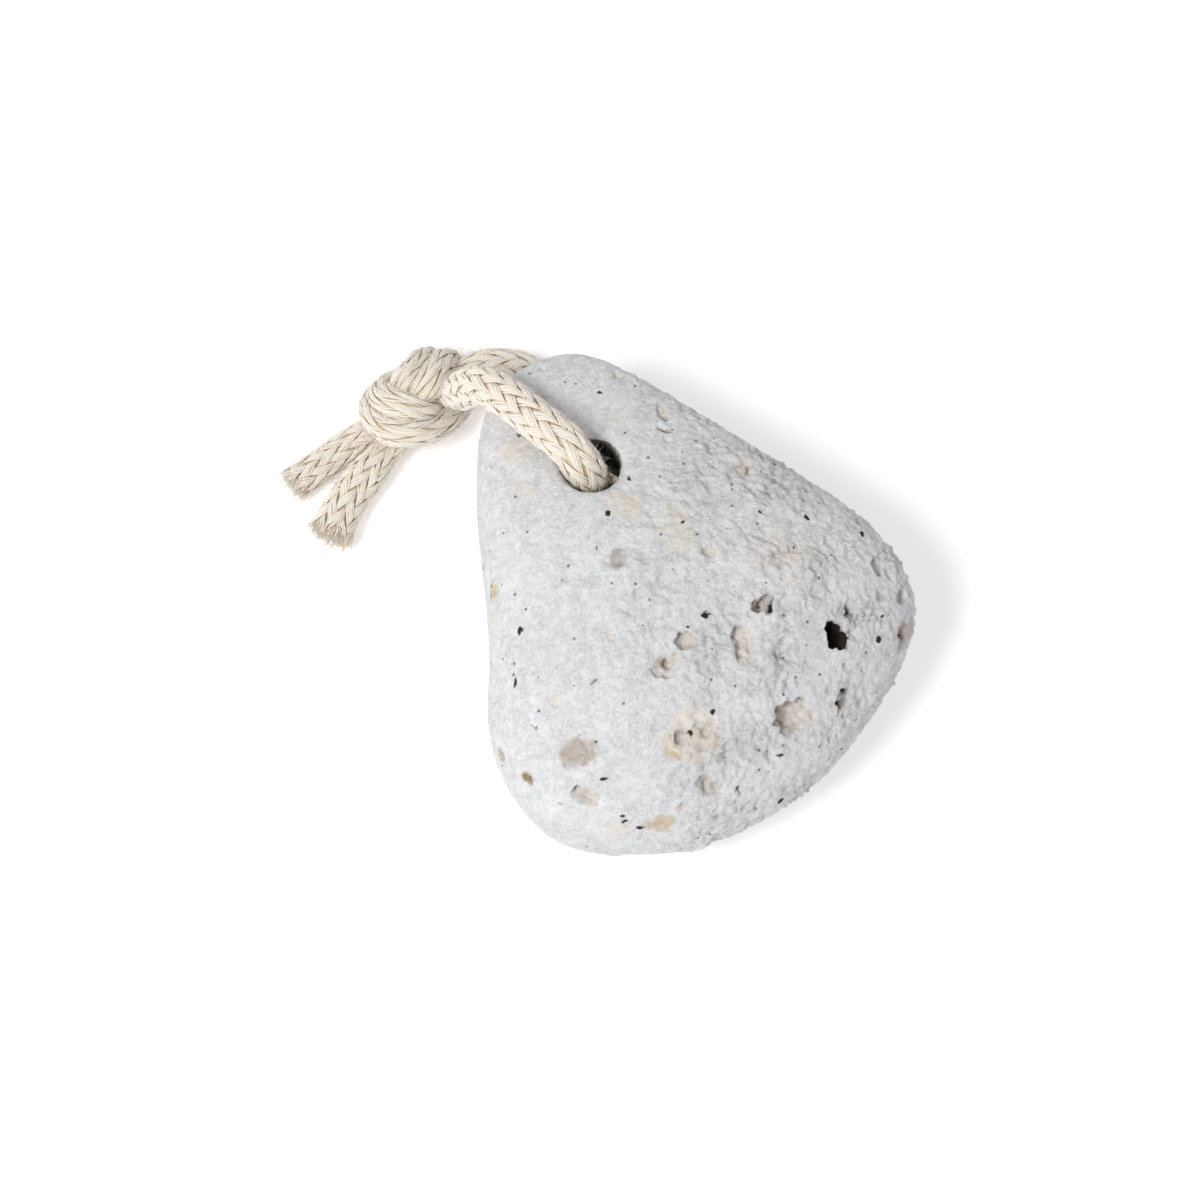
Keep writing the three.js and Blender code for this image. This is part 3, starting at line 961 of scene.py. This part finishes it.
def blend(amount, first, second):
    """A mix of two colours, each a socket or three numbers."""
    mix = nodes.new("ShaderNodeMix")
    mix.data_type = "RGBA"
    links.new(amount, mix.inputs[0])
    for slot, colour in ((6, first), (7, second)):
        if isinstance(colour, tuple):
            mix.inputs[slot].default_value = (*colour, 1)
        else:
            links.new(colour, mix.inputs[slot])
    return mix.outputs[2]


def product(first, second):
    times = nodes.new("ShaderNodeMath")
    times.operation = "MULTIPLY"
    times.use_clamp = True
    for slot, value in ((0, first), (1, second)):
        if isinstance(value, float):
            times.inputs[slot].default_value = value
        else:
            links.new(value, times.inputs[slot])
    return times.outputs["Value"]


crumbly_place = nodes.new("ShaderNodeAttribute")
crumbly_place.attribute_name = "crumbly"
crumbly_amount = crumbly_place.outputs["Fac"]
crumbs_height = pattern(640, 7, 0.68)
grit_height = pattern(1700, 5, 0.75)
cool_grey = (0.72, 0.73, 0.75)
pale_grey = (0.82, 0.815, 0.82)
rubbed_grey = (0.66, 0.675, 0.70)
tip_shade_grey = (0.62, 0.63, 0.65)
chalk_and_painted_light = (0.92, 0.915, 0.92)
crumb_tip_highlight = (0.97, 0.96, 0.96)
grit_tip_highlight = (0.98, 0.975, 0.98)
grit_hollow_shade = (0.52, 0.51, 0.51)
crease_shade_brown = (0.44, 0.40, 0.36)
crystal_black = (0.10, 0.095, 0.09)
body = blend(ramp(pattern(75, 3), 0.38, 0.62), cool_grey, pale_grey)
body = blend(product(ramp(crumbly_amount, 0.6, 0.2), 0.6), body, rubbed_grey)
# painted light: the crumbly right side, which faces away from the lamp, is painted paler to lift its shade
body = blend(product(ramp(crumbly_amount, 0.5, 1.0), 0.55), body, chalk_and_painted_light)
# painted shade: the stone is painted greyer towards its tip, the side away from the lamp
axes = nodes.new("ShaderNodeSeparateXYZ")
links.new(position.outputs["Object"], axes.inputs["Vector"])
body = blend(product(ramp(axes.outputs["Y"], 0, 0.030), 0.4), body, tip_shade_grey)
body = blend(product(ramp(pattern(230, 4, 0.65), 0.42, 0.60), 0.45), body, chalk_and_painted_light)
# painted highlight and shade: the tips of the crumbs and grit are painted white, and their hollows and
# creases grey and grey-brown, following the bump heights
body = blend(product(ramp(crumbs_height, 0.47, 0.62), 0.6), body, crumb_tip_highlight)
body = blend(product(ramp(grit_height, 0.50, 0.60), 0.55), body, grit_tip_highlight)
body = blend(product(ramp(grit_height, 0.44, 0.34), 0.5), body, grit_hollow_shade)
crease_shading = product(ramp(crumbs_height, 0.41, 0.31), crumbly_amount)
body = blend(product(crease_shading, 0.75), body, crease_shade_brown)

stain = nodes.new("ShaderNodeAttribute")
stain.attribute_name = "stain"
patchy_stain = product(ramp(stain.outputs["Alpha"], 0.0, 0.85), ramp(pattern(700, 4, 0.65), 0.24, 0.56))
stained = nodes.new("ShaderNodeMath")
stained.operation = "MAXIMUM"
links.new(patchy_stain, stained.inputs[0])
links.new(ramp(stain.outputs["Alpha"], 0.80, 0.97), stained.inputs[1])
body = blend(stained.outputs["Value"], body, stain.outputs["Color"])

crystals = nodes.new("ShaderNodeTexVoronoi")
crystals.inputs["Scale"].default_value = 520
links.new(position.outputs["Object"], crystals.inputs["Vector"])
near_crystal = ramp(crystals.outputs["Distance"], 0.17, 0.11)
kind = nodes.new("ShaderNodeSeparateColor")
links.new(crystals.outputs["Color"], kind.inputs["Color"])
some = ramp(kind.outputs["Red"], 0.80, 0.84)
body = blend(product(product(near_crystal, some), 0.8), body, crystal_black)
speck = nodes.new("ShaderNodeAttribute")
speck.attribute_name = "speck"
body = blend(ramp(speck.outputs["Fac"], 0.35, 0.75), body, dark)
links.new(body, shader.inputs["Base Color"])

crumb_relief = nodes.new("ShaderNodeBump")
crumb_relief.inputs["Strength"].default_value = 1
crumb_relief.inputs["Distance"].default_value = 0.00085
links.new(product(crumbs_height, crumbly_amount), crumb_relief.inputs["Height"])
grain = nodes.new("ShaderNodeBump")
grain.inputs["Strength"].default_value = 1
grain.inputs["Distance"].default_value = 0.00042
links.new(grit_height, grain.inputs["Height"])
links.new(crumb_relief.outputs["Normal"], grain.inputs["Normal"])
links.new(grain.outputs["Normal"], shader.inputs["Normal"])

stone.data.materials.clear()
stone.data.materials.append(pumice_finish)
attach(stone, "root")
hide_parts("pumice_stone")
